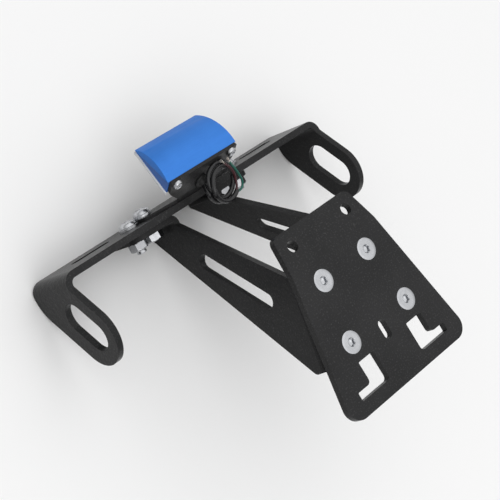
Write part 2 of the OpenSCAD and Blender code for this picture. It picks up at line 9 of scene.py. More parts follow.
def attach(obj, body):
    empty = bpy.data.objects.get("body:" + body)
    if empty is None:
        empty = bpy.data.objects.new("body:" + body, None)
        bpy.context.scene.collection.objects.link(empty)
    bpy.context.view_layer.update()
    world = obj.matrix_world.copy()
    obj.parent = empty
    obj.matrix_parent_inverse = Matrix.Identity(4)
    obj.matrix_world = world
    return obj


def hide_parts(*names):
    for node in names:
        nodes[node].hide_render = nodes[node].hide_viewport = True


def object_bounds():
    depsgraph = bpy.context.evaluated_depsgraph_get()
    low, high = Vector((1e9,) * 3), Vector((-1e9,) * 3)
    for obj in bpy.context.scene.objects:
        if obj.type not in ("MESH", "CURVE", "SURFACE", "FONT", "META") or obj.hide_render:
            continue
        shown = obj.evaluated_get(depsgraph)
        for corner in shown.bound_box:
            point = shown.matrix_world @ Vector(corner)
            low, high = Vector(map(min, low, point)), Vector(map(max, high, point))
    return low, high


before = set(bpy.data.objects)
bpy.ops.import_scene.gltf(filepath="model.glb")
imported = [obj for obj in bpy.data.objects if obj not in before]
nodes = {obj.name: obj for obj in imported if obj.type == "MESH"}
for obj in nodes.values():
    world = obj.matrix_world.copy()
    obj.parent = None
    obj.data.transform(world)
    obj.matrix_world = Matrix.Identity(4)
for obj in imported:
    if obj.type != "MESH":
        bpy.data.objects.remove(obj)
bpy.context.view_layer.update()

# Sizes in millimetres, and angles, that the pieces below share.
MM = 0.001
ROW_Y = 52.7
BAR_PLACE = (142.4, 79.4)
BAR_TILT = math.radians(5.6)
BAR_T = 4.0
ARM_T = 4.0
BRACKET_T = 2.0
BRACKET_BEND = (4.0, -1.0)
LEG_ANGLE = math.radians(34.0)
LEG_HOLE_UP = 8.0
COIL_PLACE = (8.6, -1.6, 13.2)
COIL_TURN = (math.radians(21.0), math.radians(6.0))
LEAD_D = 2.8
WIRE_D = 1.4


def on_bar(x, n, u):
    """A point given by x along the bar, n behind its rear face and u up it."""
    y = BAR_PLACE[0] - ROW_Y + n * math.cos(BAR_TILT) - u * math.sin(BAR_TILT)
    z = -BAR_PLACE[1] + n * math.sin(BAR_TILT) + u * math.cos(BAR_TILT)
    return Vector((x, y, z)) * MM


def on_leg(x, m, e):
    """A point given by x along the lamp, m behind the bracket's upper part and e up it."""
    start_n = BRACKET_BEND[0] - BRACKET_T * math.cos(LEG_ANGLE)
    start_u = BRACKET_BEND[1] + BRACKET_T * math.sin(LEG_ANGLE)
    n = start_n + m * math.cos(LEG_ANGLE) + e * math.sin(LEG_ANGLE)
    u = start_u - m * math.sin(LEG_ANGLE) + e * math.cos(LEG_ANGLE)
    return on_bar(x, n, u)


def on_coil(angle, radius, height):
    """A point given by its angle in degrees round the coil, its radius and its height along the axis."""
    x = radius * math.cos(math.radians(angle))
    y = radius * math.sin(math.radians(angle))
    cos_x, sin_x = math.cos(COIL_TURN[0]), math.sin(COIL_TURN[0])
    cos_y, sin_y = math.cos(COIL_TURN[1]), math.sin(COIL_TURN[1])
    tipped_y = y * cos_x - height * sin_x
    tipped_z = y * sin_x + height * cos_x
    return on_bar(
        COIL_PLACE[0] + x * cos_y + tipped_z * sin_y,
        COIL_PLACE[1] + tipped_y,
        COIL_PLACE[2] - x * sin_y + tipped_z * cos_y,
    )


# Camera at the photograph's viewing angle.
SENSOR_WIDTH = 36.0
FOCAL_LENGTH = 96.05
CAMERA_PLACE = (-0.4382, 0.0995, 0.5400)
CAMERA_RIGHT = Vector((0.6678, -0.5237, 0.5290))
CAMERA_BACK = Vector((-0.5845, 0.0712, 0.8083))


def make_camera():
    data = bpy.data.cameras.new("Camera")
    data.sensor_width = SENSOR_WIDTH
    data.lens = FOCAL_LENGTH
    data.clip_start = 0.01
    camera = bpy.data.objects.new("Camera", data)
    back = CAMERA_BACK.normalized()
    up = back.cross(CAMERA_RIGHT.normalized()).normalized()
    right = up.cross(back)
    turn = Matrix((right, up, back)).transposed()
    camera.matrix_world = Matrix.Translation(CAMERA_PLACE) @ turn.to_4x4()
    bpy.context.scene.collection.objects.link(camera)
    bpy.context.scene.camera = camera


make_camera()


# Node groups that several materials share.
def new_group(name, inputs, outputs):
    group = bpy.data.node_groups.new(name, "ShaderNodeTree")
    for label, kind, value in inputs:
        socket = group.interface.new_socket(label, in_out="INPUT", socket_type=kind)
        socket.default_value = value
    for label, kind in outputs:
        group.interface.new_socket(label, in_out="OUTPUT", socket_type=kind)
    start = group.nodes.new("NodeGroupInput")
    end = group.nodes.new("NodeGroupOutput")
    return group, start, end


def add_node(tree, kind, **settings):
    node = tree.nodes.new(kind)
    for key, value in settings.items():
        setattr(node, key, value)
    return node


def wire(tree, source, target):
    tree.links.new(source, target)


def math_node(tree, operation, first, second):
    node = add_node(tree, "ShaderNodeMath", operation=operation)
    for index, value in enumerate((first, second)):
        if isinstance(value, (int, float)):
            node.inputs[index].default_value = value
        else:
            wire(tree, value, node.inputs[index])
    return node.outputs[0]


def blend_node(tree, mask, first, second):
    node = add_node(tree, "ShaderNodeMix", data_type="RGBA")
    wire(tree, mask, node.inputs["Factor"])
    for socket, value in ((node.inputs[6], first), (node.inputs[7], second)):
        if isinstance(value, tuple):
            socket.default_value = value
        else:
            wire(tree, value, socket)
    return node.outputs[2]


def make_grain_group():
    """Powder coat: a low orange peel under a fine sandy grain, with a slightly uneven tone."""
    group, start, end = new_group(
        "Powder grain",
        [
            ("Vector", "NodeSocketVector", (0.0, 0.0, 0.0)),
            ("Colour", "NodeSocketColor", (0.02, 0.02, 0.02, 1.0)),
            ("Light colour", "NodeSocketColor", (0.05, 0.05, 0.05, 1.0)),
            ("Grain scale", "NodeSocketFloat", 1400.0),
            ("Peel scale", "NodeSocketFloat", 320.0),
            ("Roughness", "NodeSocketFloat", 0.45),
            ("Roughness spread", "NodeSocketFloat", 0.12),
        ],
        [
            ("Colour", "NodeSocketColor"),
            ("Roughness", "NodeSocketFloat"),
            ("Height", "NodeSocketFloat"),
        ],
    )
    grain = add_node(group, "ShaderNodeTexNoise")
    grain.inputs["Detail"].default_value = 2.0
    wire(group, start.outputs["Vector"], grain.inputs["Vector"])
    wire(group, start.outputs["Grain scale"], grain.inputs["Scale"])
    peel = add_node(group, "ShaderNodeTexNoise")
    peel.inputs["Detail"].default_value = 1.0
    wire(group, start.outputs["Vector"], peel.inputs["Vector"])
    wire(group, start.outputs["Peel scale"], peel.inputs["Scale"])
    cloud = add_node(group, "ShaderNodeTexNoise")
    cloud.inputs["Scale"].default_value = 28.0
    cloud.inputs["Detail"].default_value = 3.0
    wire(group, start.outputs["Vector"], cloud.inputs["Vector"])
    spots = add_node(group, "ShaderNodeMapRange")
    spots.inputs["From Min"].default_value = 0.56
    spots.inputs["From Max"].default_value = 0.74
    wire(group, grain.outputs["Fac"], spots.inputs["Value"])
    tone = math_node(group, "MULTIPLY", cloud.outputs["Fac"], 0.45)
    mask = math_node(group, "MULTIPLY_ADD", spots.outputs["Result"], 0.55)
    wire(group, tone, mask.node.inputs[2])
    tone = blend_node(group, mask, start.outputs["Colour"], start.outputs["Light colour"])
    wire(group, tone, end.inputs["Colour"])
    swing = math_node(group, "SUBTRACT", cloud.outputs["Fac"], 0.5)
    swing = math_node(group, "MULTIPLY", swing, start.outputs["Roughness spread"])
    wire(group, math_node(group, "ADD", swing, start.outputs["Roughness"]), end.inputs["Roughness"])
    height = math_node(group, "MULTIPLY", peel.outputs["Fac"], 0.5)
    height = math_node(group, "ADD", height, math_node(group, "MULTIPLY", grain.outputs["Fac"], 0.4))
    wire(group, height, end.inputs["Height"])
    return group


def make_streak_group():
    """Drawn or rolled metal: fine lines along one direction, with a soft uneven sheen."""
    group, start, end = new_group(
        "Metal streaks",
        [
            ("Vector", "NodeSocketVector", (0.0, 0.0, 0.0)),
            ("Stretch", "NodeSocketVector", (1.0, 1.0, 1.0)),
            ("Scale", "NodeSocketFloat", 900.0),
            ("Colour", "NodeSocketColor", (0.7, 0.7, 0.7, 1.0)),
            ("Dull colour", "NodeSocketColor", (0.5, 0.5, 0.5, 1.0)),
            ("Roughness", "NodeSocketFloat", 0.3),
            ("Roughness spread", "NodeSocketFloat", 0.15),
        ],
        [
            ("Colour", "NodeSocketColor"),
            ("Roughness", "NodeSocketFloat"),
            ("Height", "NodeSocketFloat"),
        ],
    )
    stretched = add_node(group, "ShaderNodeVectorMath", operation="MULTIPLY")
    wire(group, start.outputs["Vector"], stretched.inputs[0])
    wire(group, start.outputs["Stretch"], stretched.inputs[1])
    lines = add_node(group, "ShaderNodeTexNoise")
    lines.inputs["Detail"].default_value = 3.0
    wire(group, stretched.outputs["Vector"], lines.inputs["Vector"])
    wire(group, start.outputs["Scale"], lines.inputs["Scale"])
    cloud = add_node(group, "ShaderNodeTexNoise")
    cloud.inputs["Scale"].default_value = 90.0
    cloud.inputs["Detail"].default_value = 2.0
    wire(group, start.outputs["Vector"], cloud.inputs["Vector"])
    both = math_node(group, "MULTIPLY", lines.outputs["Fac"], 0.5)
    both = math_node(group, "ADD", both, math_node(group, "MULTIPLY", cloud.outputs["Fac"], 0.5))
    tone = blend_node(group, both, start.outputs["Colour"], start.outputs["Dull colour"])
    wire(group, tone, end.inputs["Colour"])
    swing = math_node(group, "SUBTRACT", both, 0.5)
    swing = math_node(group, "MULTIPLY", swing, start.outputs["Roughness spread"])
    wire(group, math_node(group, "ADD", swing, start.outputs["Roughness"]), end.inputs["Roughness"])
    wire(group, lines.outputs["Fac"], end.inputs["Height"])
    return group


POWDER_GRAIN = make_grain_group()
METAL_STREAKS = make_streak_group()


def patterned(name, pattern, values, bump, distance=0.0001, plain=None):
    """A material whose colour, roughness and bump come from one of the two groups, with its own values."""
    material = bpy.data.materials.new(name)
    material.use_nodes = True
    tree = material.node_tree
    shader = tree.nodes["Principled BSDF"]
    coords = add_node(tree, "ShaderNodeTexCoord")
    group = add_node(tree, "ShaderNodeGroup", node_tree=pattern)
    wire(tree, coords.outputs["Object"], group.inputs["Vector"])
    for key, value in values.items():
        group.inputs[key].default_value = value
    wire(tree, group.outputs["Colour"], shader.inputs["Base Color"])
    wire(tree, group.outputs["Roughness"], shader.inputs["Roughness"])
    relief = add_node(tree, "ShaderNodeBump")
    relief.inputs["Strength"].default_value = bump
    relief.inputs["Distance"].default_value = distance
    wire(tree, group.outputs["Height"], relief.inputs["Height"])
    wire(tree, relief.outputs["Normal"], shader.inputs["Normal"])
    for key, value in (plain or {}).items():
        shader.inputs[key].default_value = value
    return material


COAT = patterned(
    "Black powder coat",
    POWDER_GRAIN,
    {
        "Colour": (0.012, 0.012, 0.0125, 1.0),
        "Light colour": (0.064, 0.064, 0.065, 1.0),
        "Grain scale": 1100.0,
        "Peel scale": 420.0,
        "Roughness": 0.30,
        "Roughness spread": 0.10,
    },
    bump=0.60,
    distance=0.0004,
    plain={"Specular IOR Level": 0.13},
)
STEEL = patterned(
    "Zinc plated steel",
    METAL_STREAKS,
    {
        "Stretch": (1.0, 1.0, 0.25),
        "Scale": 700.0,
        "Colour": (0.70, 0.71, 0.73, 1.0),
        "Dull colour": (0.38, 0.39, 0.41, 1.0),
        "Roughness": 0.27,
        "Roughness spread": 0.25,
    },
    bump=0.30,
    plain={"Metallic": 1.0},
)
# Painted shade: the nuts get a darker copy of the screws' zinc plate, standing in for the dimmer light that
# they mirror.
SHADED_NUT_STEEL = patterned(
    "Zinc plated nuts with painted shade",
    METAL_STREAKS,
    {
        "Stretch": (1.0, 1.0, 0.25),
        "Scale": 500.0,
        "Colour": (0.54, 0.54, 0.56, 1.0),
        "Dull colour": (0.26, 0.27, 0.28, 1.0),
        "Roughness": 0.24,
        "Roughness spread": 0.25,
    },
    bump=0.40,
    plain={"Metallic": 1.0},
)
BLUE = patterned(
    "Blue anodised aluminium",
    METAL_STREAKS,
    {
        "Stretch": (0.12, 1.0, 1.0),
        "Scale": 1300.0,
        "Colour": (0.058, 0.262, 0.800, 1.0),
        "Dull colour": (0.042, 0.200, 0.660, 1.0),
        "Roughness": 0.44,
        "Roughness spread": 0.12,
    },
    bump=0.10,
    plain={"Metallic": 0.22, "Specular IOR Level": 0.16},
)
# Painted shade: the moulding under the shell is a real part, but its blue is darkened to stand in for the
# shade at the lamp's recessed ends.
SHADED_BLUE_PLASTIC = patterned(
    "Blue moulded plastic with painted shade",
    POWDER_GRAIN,
    {
        "Colour": (0.022, 0.120, 0.460, 1.0),
        "Light colour": (0.050, 0.200, 0.620, 1.0),
        "Grain scale": 900.0,
        "Roughness": 0.40,
    },
    bump=0.15,
)
BOARD = patterned(
    "Circuit board",
    POWDER_GRAIN,
    {
        "Colour": (0.015, 0.120, 0.050, 1.0),
        "Light colour": (0.060, 0.240, 0.110, 1.0),
        "Grain scale": 500.0,
        "Roughness": 0.35,
    },
    bump=0.10,
)
RUBBER = patterned(
    "Rubber",
    POWDER_GRAIN,
    {
        "Colour": (0.008, 0.008, 0.008, 1.0),
        "Light colour": (0.020, 0.020, 0.020, 1.0),
        "Grain scale": 700.0,
        "Roughness": 0.62,
    },
    bump=0.30,
)
SHEATH = patterned(
    "Black cable sheath",
    POWDER_GRAIN,
    {
        "Colour": (0.010, 0.010, 0.011, 1.0),
        "Light colour": (0.026, 0.026, 0.028, 1.0),
        "Grain scale": 500.0,
        "Roughness": 0.24,
        "Roughness spread": 0.16,
    },
    bump=0.10,
)
GREEN = patterned(
    "Green wire insulation",
    POWDER_GRAIN,
    {
        "Colour": (0.004, 0.105, 0.075, 1.0),
        "Light colour": (0.015, 0.200, 0.145, 1.0),
        "Grain scale": 500.0,
        "Roughness": 0.28,
    },
    bump=0.08,
)
RED = patterned(
    "Red wire insulation",
    POWDER_GRAIN,
    {
        "Colour": (0.048, 0.006, 0.010, 1.0),
        "Light colour": (0.095, 0.013, 0.019, 1.0),
        "Grain scale": 500.0,
        "Roughness": 0.30,
    },
    bump=0.08,
)
CORE = patterned(
    "Tinned copper strands",
    METAL_STREAKS,
    {
        "Stretch": (0.4, 1.0, 1.0),
        "Scale": 1600.0,
        "Colour": (0.86, 0.84, 0.80, 1.0),
        "Dull colour": (0.66, 0.58, 0.50, 1.0),
        "Roughness": 0.25,
    },
    bump=0.20,
    plain={"Metallic": 1.0},
)
# Painted light: the clear lens is given a near-white colour and little transmission, standing in for the pale
# background shining through it.
PALE_PAINTED_LENS = patterned(
    "Clear lens plastic painted pale",
    POWDER_GRAIN,
    {
        "Colour": (0.880, 0.900, 0.930, 1.0),
        "Light colour": (0.960, 0.970, 0.980, 1.0),
        "Grain scale": 300.0,
        "Roughness": 0.16,
        "Roughness spread": 0.10,
    },
    bump=0.05,
    plain={"Transmission Weight": 0.08, "IOR": 1.49},
)
LED = patterned(
    "Lamp chip",
    POWDER_GRAIN,
    {
        "Colour": (0.850, 0.800, 0.420, 1.0),
        "Light colour": (0.950, 0.930, 0.700, 1.0),
        "Grain scale": 400.0,
        "Roughness": 0.30,
    },
    bump=0.05,
)


# Cords: the black lead, coiled up, and its two cores.
def smooth_line(points, steps):
    """A finely stepped line through the points, with no sharp turns."""
    line = []
    last = len(points) - 1
    for index in range(last):
        before = points[max(index - 1, 0)]
        here = points[index]
        there = points[index + 1]
        after = points[min(index + 2, last)]
        for step in range(steps):
            t = step / steps
            line.append(
                0.5
                * (
                    2 * here
                    + (there - before) * t
                    + (2 * before - 5 * here + 4 * there - after) * t * t
                    + (3 * here - before - 3 * there + after) * t * t * t
                )
            )
    line.append(points[last])
    return line


def cord_piece(name, line, diameter, material, sides=8):
    data = bpy.data.curves.new(name, "CURVE")
    data.dimensions = "3D"
    data.bevel_depth = diameter / 2
    data.bevel_resolution = sides
    data.use_fill_caps = True
    spline = data.splines.new("POLY")
    spline.points.add(len(line) - 1)
    for point, place in zip(spline.points, line):
        point.co = (*place, 1.0)
    spline.use_smooth = True
    piece = bpy.data.objects.new(name, data)
    data.materials.append(material)
    bpy.context.scene.collection.objects.link(piece)
    return piece


def ease(t):
    t = min(max(t, 0.0), 1.0)
    return t * t * (3 - 2 * t)


# Where the winding changes: from which angle, over how many degrees, how much wider and how much higher.
COIL_START = (11.3, -1.3)
COIL_CHANGES = ((290, 90, -2.3, 1.9), (640, 100, 1.6, 2.8))


def coil_size(turned):
    """Radius and height of the coil after so many degrees of winding."""
    radius, height = COIL_START
    for begin, span, wider, higher in COIL_CHANGES:
        change = ease((turned - begin) / span)
        radius += wider * change
        height += higher * change
    return radius, height


LEAD_DEPTH = 7.0
LEAD_START = 196.0
LEAD_WOUND = 837.0
LEAD_STEP = 15.5


def lead_line():
    """From the lamp's inside down and forward through the bracket's hole, then round the coil."""
    hole_mouth = 0.6
    bend_r = LEAD_DEPTH - hole_mouth
    points = [on_leg(0.0, LEAD_DEPTH, e) for e in (19.2, 17.2, 15.4)]
    for angle in (22.5, 45.0, 67.5):
        turned = math.radians(angle)
        m = hole_mouth + bend_r * math.cos(turned)
        e = LEG_HOLE_UP + bend_r * (1 - math.sin(turned))
        points.append(on_leg(0.0, m, e))
    points += [on_leg(0.0, hole_mouth, LEG_HOLE_UP), on_leg(0.0, -1.6, LEG_HOLE_UP), on_leg(0.0, -3.4, 8.2)]
    points += [on_bar(-0.7, 1.9, 9.6), on_bar(-1.8, -0.7, 10.8)]
    turned = 0.0
    while turned <= LEAD_WOUND + 0.1:
        radius, height = coil_size(turned)
        points.append(on_coil(LEAD_START + turned, radius, height))
        turned += LEAD_STEP
    return smooth_line(points, 3)


def core_line(places):
    """A core's way, given as its angle round the coil, radius and height at each point."""
    return smooth_line([on_coil(*place) for place in places], 4)


# Each core's way: angle round the coil, radius and height.
HIDDEN_WAY = [(-96, 10.6, 3.4), (-81, 10.6, 3.4)]
GREEN_WAY = HIDDEN_WAY + [
    (-68, 10.6, 3.4),
    (-57, 10.7, 3.4),
    (-46, 12.6, 3.2),
    (-36, 14.6, 2.8),
    (-28, 15.3, 2.5),
    (-18, 14.4, 2.5),
    (-7, 12.6, 2.8),
    (8, 11.0, 3.2),
    (26, 10.2, 3.7),
    (44, 10.1, 4.2),
    (58, 10.6, 4.8),
    (69, 11.6, 5.5),
]
RED_WAY = [(-125, 10.6, 3.4), (-111, 10.6, 3.4)] + HIDDEN_WAY + [
    (-68, 10.5, 3.4),
    (-57, 10.2, 3.5),
    (-46, 9.6, 3.6),
    (-30, 8.8, 3.5),
    (-10, 8.2, 3.2),
    (14, 8.0, 3.2),
    (38, 8.3, 3.3),
    (60, 9.0, 3.5),
    (77, 10.2, 4.0),
    (88, 11.6, 4.7),
]
lead_points = lead_line()
lead = cord_piece("lead_sheath", lead_points, LEAD_D * MM, SHEATH)
green_points = core_line(GREEN_WAY)
green = cord_piece("green_core", green_points, WIRE_D * MM, GREEN, 6)
red_points = core_line(RED_WAY)
red = cord_piece("red_core", red_points, WIRE_D * MM, RED, 6)


STRAND_R = 0.00016
STRAND_LENGTH = 0.0052
STRAND_SUNK = 0.0004
STRAND_OUT = 0.34
STRAND_TWIST = 2.4
STRAND_STEPS = 8


def tube(mesh, path, radius, side, sides=6):
    """A closed round tube along a path, added to the mesh."""
    last = len(path) - 1
    ring_before = None
    for index, centre in enumerate(path):
        ahead = path[min(index + 1, last)] - path[max(index - 1, 0)]
        across = ahead.cross(side).normalized()
        third = ahead.normalized().cross(across)
        ring = []
        for k in range(sides):
            turn = k * math.tau / sides
            ring.append(mesh.verts.new(centre + (across * math.cos(turn) + third * math.sin(turn)) * radius))
        if ring_before:
            for k in range(sides):
                after = (k + 1) % sides
                mesh.faces.new((ring_before[k], ring_before[after], ring[after], ring[k]))
        else:
            mesh.faces.new(list(reversed(ring)))
        ring_before = ring
    mesh.faces.new(ring_before)


def bare_end(name, line, spread):
    """The twisted strands that stick out of a core's end: six round one, fanning out a little."""
    tip = line[-1]
    along = (line[-1] - line[-3]).normalized()
    side = along.cross(Vector((0.0, 0.0, 1.0))).normalized()
    other = along.cross(side)
    mesh = bmesh.new()
    for strand in range(7):
        phase = strand * math.tau / 6
        reach = 0.0 if strand == 6 else STRAND_OUT
        path = []
        for step in range(STRAND_STEPS + 1):
            t = step / STRAND_STEPS
            swing = phase + STRAND_TWIST * t
            out = reach * (1 + spread * t * t)
            offset = side * (math.cos(swing) * out) + other * (math.sin(swing) * out)
            path.append(tip - along * STRAND_SUNK + along * (STRAND_LENGTH * t) + offset * MM)
        tube(mesh, path, STRAND_R, other)
    return mesh_piece(name, mesh, CORE)


def mesh_piece(name, mesh, material, smooth=True):
    bmesh.ops.recalc_face_normals(mesh, faces=mesh.faces)
    data = bpy.data.meshes.new(name)
    mesh.to_mesh(data)
    mesh.free()
    if smooth:
        data.shade_smooth()
        data.set_sharp_from_angle(angle=math.radians(35))
    data.materials.append(material)
    piece = bpy.data.objects.new(name, data)
    bpy.context.scene.collection.objects.link(piece)
    return piece


green_strands = bare_end("green_core_strands", green_points, 0.8)
red_strands = bare_end("red_core_strands", red_points, 1.1)

for piece, slot in (
    (lead, "cable_black"),
    (green, "wire_green"),
    (red, "wire_red"),
    (green_strands, "zinc"),
    (red_strands, "zinc"),
):
    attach(piece, "root")
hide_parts("lamp_lead", "lead_coil")
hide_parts("green_wire")
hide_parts("red_wire")


# Sheets: the bent plates with their edges broken as a coated edge is.
def add_bevel(piece, width, angle=32):
    bevel = piece.modifiers.new("Broken edges", "BEVEL")
    bevel.width = width * MM
    bevel.segments = 2
    bevel.limit_method = "ANGLE"
    bevel.angle_limit = math.radians(angle)
    bevel.use_clamp_overlap = True
    bevel.harden_normals = True


def settle(piece):
    """The piece's modifiers become its plain mesh."""
    bpy.context.view_layer.update()
    done = bpy.data.meshes.new_from_object(piece.evaluated_get(bpy.context.evaluated_depsgraph_get()))
    piece.modifiers.clear()
    piece.data = done


def cut_away(piece, cutters):
    """Cuts the cutters' shapes out of a piece, then deletes the cutters."""
    for cutter in cutters:
        cut = piece.modifiers.new("Cut", "BOOLEAN")
        cut.object = cutter
        cut.solver = "EXACT"
    if cutters:
        settle(piece)
    for cutter in cutters:
        bpy.data.objects.remove(cutter)


def stand_for(piece, slot, *replaced):
    """A rigid piece rides on the body and takes the place of CAD nodes; the slot is not used."""
    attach(piece, "root")
    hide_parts(*replaced)
    return piece


def edge_broken(node, name, width, material, slot, cutters=()):
    """A merged copy of a CAD node with small rounded edges, which stands for it."""
    mesh = bmesh.new()
    mesh.from_mesh(nodes[node].data)
    bmesh.ops.remove_doubles(mesh, verts=mesh.verts, dist=1e-7)
    bmesh.ops.dissolve_limit(mesh, angle_limit=math.radians(0.4), verts=mesh.verts, edges=mesh.edges)
    piece = mesh_piece(name, mesh, material)
    cut_away(piece, cutters)
    add_bevel(piece, width)
    settle(piece)
    return stand_for(piece, slot, node)


def prism(name, near, far, material=COAT):
    """A closed prism between two rings of points."""
    mesh = bmesh.new()
    low = [mesh.verts.new(p) for p in near]
    high = [mesh.verts.new(p) for p in far]
    mesh.faces.new(low)
    mesh.faces.new(list(reversed(high)))
    for k in range(len(low)):
        after = (k + 1) % len(low)
        mesh.faces.new((low[k], high[k], high[after], low[after]))
    return mesh_piece(name, mesh, material, False)


def bar_cutter(name, side, outline, near, far):
    """A cutter from an outline on the bar's face, on one side of its middle, between two depths behind it."""
    front = [on_bar(side * x, near, u) for x, u in outline]
    back = [on_bar(side * x, far, u) for x, u in outline]
    return prism(name, front, back)


WAIST = [
    (34.6, -9.6),
    (16.6, -2.0),
    (15.3, -1.1),
    (14.8, 0.2),
    (15.2, 1.6),
    (16.4, 3.2),
    (24.6, 10.4),
    (26.4, 12.6),
    (44.0, 12.6),
    (44.0, -9.6),
]


def waist_cutter(side):
    """What is cut from one side of the lamp bracket, where it narrows at its bend."""
    return bar_cutter("waist cutter", side, WAIST, -3.0, 30.0)


FOOT_START = 22.4
FOOT_TOP = -7.1
FOOT_ROUND = 11.0
FOOT_LOW = -38.2
FOOT_LOW_ROUND = 6.0


def foot_end():
    """How far out along the bar an arm's foot reaches."""
    reach = 0.0
    for vert in nodes["right_arm"].data.vertices:
        y = vert.co.y / MM - BAR_PLACE[0] + ROW_Y
        z = vert.co.z / MM + BAR_PLACE[1]
        n = y * math.cos(BAR_TILT) + z * math.sin(BAR_TILT)
        if n > -BAR_T - ARM_T - 0.2:
            reach = max(reach, vert.co.x / MM)
    return reach


def foot_cutter(side):
    """What is cut from an arm's foot: it ends level on top, with rounded outer corners."""
    end = foot_end()
    outline = [(FOOT_START, FOOT_TOP)]
    for k in range(13):
        turn = math.radians(90 - 90 * k / 12)
        x = end - FOOT_ROUND * (1 - math.cos(turn))
        outline.append((x, FOOT_TOP - FOOT_ROUND * (1 - math.sin(turn))))
    for k in range(9):
        turn = math.radians(90 * k / 8)
        x = end - FOOT_LOW_ROUND * (1 - math.cos(turn))
        outline.append((x, FOOT_LOW + FOOT_LOW_ROUND * (1 - math.sin(turn))))
    outline += [(end - FOOT_LOW_ROUND, -60.0), (end + 14.0, -60.0), (end + 14.0, 12.0), (FOOT_START, 12.0)]
    return bar_cutter("foot cutter", side, outline, -9.5, -3.9)


COATED_EDGE = 0.35
THIN_EDGE = 0.25
edge_broken("mounting_plate", "top_plate_coated", COATED_EDGE, COAT, "black_coat")
edge_broken("indicator_bar", "indicator_bar_coated", COATED_EDGE, COAT, "black_coat")
edge_broken("left_arm", "left_arm_coated", COATED_EDGE, COAT, "black_coat", [foot_cutter(-1)])
edge_broken("right_arm", "right_arm_coated", COATED_EDGE, COAT, "black_coat", [foot_cutter(1)])
waist = [waist_cutter(1), waist_cutter(-1)]
edge_broken("lamp_bracket", "lamp_bracket_coated", THIN_EDGE, COAT, "black_coat", waist)
edge_broken("lamp_cover", "lamp_shell", THIN_EDGE, BLUE, "blue_anodised")


# Lamp: the moulded wedge under the blue shell and the clear lens that closes it.
LAMP_HALF = 27.3
LAMP_TAPER = 3.1
LAMP_DEPTH = 30.0
HOUSING_INSET = 0.7
HOUSING_PROFILE = [(0.0, 12.9), (0.0, 21.18), (29.4, 19.48), (29.4, 18.9), (28.0, 18.3)]
LENS_PROFILE = [(0.0, 11.5), (0.0, 12.85), (28.0, 18.25), (29.5, 18.6), (29.5, 17.0)]
ROOM = [(-19.0, 5.0), (19.0, 5.0), (19.0, 18.0), (-19.0, 18.0)]


def leg_cutter(name, outline, low, high):
    """A cutter up the bracket's upper part, from an outline given along the lamp and behind the bracket."""
    return prism(name, [on_leg(x, m, low) for x, m in outline], [on_leg(x, m, high) for x, m in outline])


def wedge(name, profile, inset, material, width):
    """A shape whose profile is drawn behind the bracket and up it, tapered along the lamp as the lamp is."""
    half = [LAMP_HALF - inset - LAMP_TAPER * m / LAMP_DEPTH for m, e in profile]
    near = [on_leg(-x, m, e) for x, (m, e) in zip(half, profile)]
    far = [on_leg(x, m, e) for x, (m, e) in zip(half, profile)]
    piece = prism(name, near, far, material)
    add_bevel(piece, width, 20)
    settle(piece)
    return piece


def lamp_body():
    """The moulding under the shell, with room for the board cut into it."""
    # Its darker blue is painted shade of the lamp's recessed ends.
    body = wedge("lamp_housing", HOUSING_PROFILE, HOUSING_INSET, SHADED_BLUE_PLASTIC, 0.2)
    cut_away(body, [leg_cutter("room cutter", ROOM, 8.0, 20.0)])
    stand_for(body, "dark_blue", "lamp_body")


def lamp_lens():
    """The clear lens: a sloping plate with a raised rim that laps over the moulding's edge."""
    # Its near-white colour is painted light from the background seen through the clear plastic.
    lens = wedge("lamp_window", LENS_PROFILE, 0.0, PALE_PAINTED_LENS, 0.35)
    hole = []
    for k in range(24):
        turn = k * math.tau / 24
        hole.append((2.0 * math.cos(turn), LEAD_DEPTH + 2.0 * math.sin(turn)))
    cut_away(lens, [leg_cutter("lead hole cutter", hole, 9.0, 16.0)])
    stand_for(lens, "lens", "lamp_lens")


lamp_body()
lamp_lens()


def finish_node(node, material):
    """A CAD node that stays in view takes a finer material."""
    for slot in nodes[node].material_slots:
        slot.material = material


finish_node("lamp_board", BOARD)
finish_node("lamp_leds", LED)


# Fasteners: each kind is turned once, then set in its places by a geometry node tree.
def hex_reach(apothem, angle):
    return apothem / math.cos((angle + math.pi / 6) % (math.pi / 3) - math.pi / 6)


def turned_item(name, rows, steps=48):
    """A closed shape from rows of (height, round radius, hexagon apothem or None), in millimetres."""
    mesh = bmesh.new()
    rings = []
    for height, radius, apothem in rows:
        if radius == 0:
            rings.append([mesh.verts.new((0.0, 0.0, height * MM))])
            continue
        ring = []
        for k in range(steps):
            angle = k * math.tau / steps
            reach = radius if apothem is None else min(radius, hex_reach(apothem, angle))
            x = reach * MM * math.cos(angle)
            y = reach * MM * math.sin(angle)
            ring.append(mesh.verts.new((x, y, height * MM)))
        rings.append(ring)
    for low, high in zip(rings, rings[1:]):
        for k in range(steps):
            after = (k + 1) % steps
            if len(low) == 1:
                mesh.faces.new((low[0], high[after], high[k]))
            elif len(high) == 1:
                mesh.faces.new((low[k], low[after], high[0]))
            else:
                mesh.faces.new((low[k], low[after], high[after], high[k]))
    if len(rings[0]) > 1:
        for k in range(steps):
            after = (k + 1) % steps
            mesh.faces.new((rings[-1][k], rings[-1][after], rings[0][after], rings[0][k]))
    bmesh.ops.recalc_face_normals(mesh, faces=mesh.faces)
    data = bpy.data.meshes.new(name)
    mesh.to_mesh(data)
    mesh.free()
    data.shade_smooth()
    data.set_sharp_from_angle(angle=math.radians(28))
    item = bpy.data.objects.new(name, data)
    bpy.context.scene.collection.objects.link(item)
    return item


def thread_rows(top, bottom, radius, pitch):
    """Ridges of a thread from top to bottom, a pitch apart."""
    rows = []
    height = top
    while height - pitch > bottom:
        rows += [(height, radius, None), (height - pitch * 0.5, radius - pitch * 0.32, None)]
        height -= pitch
    return rows


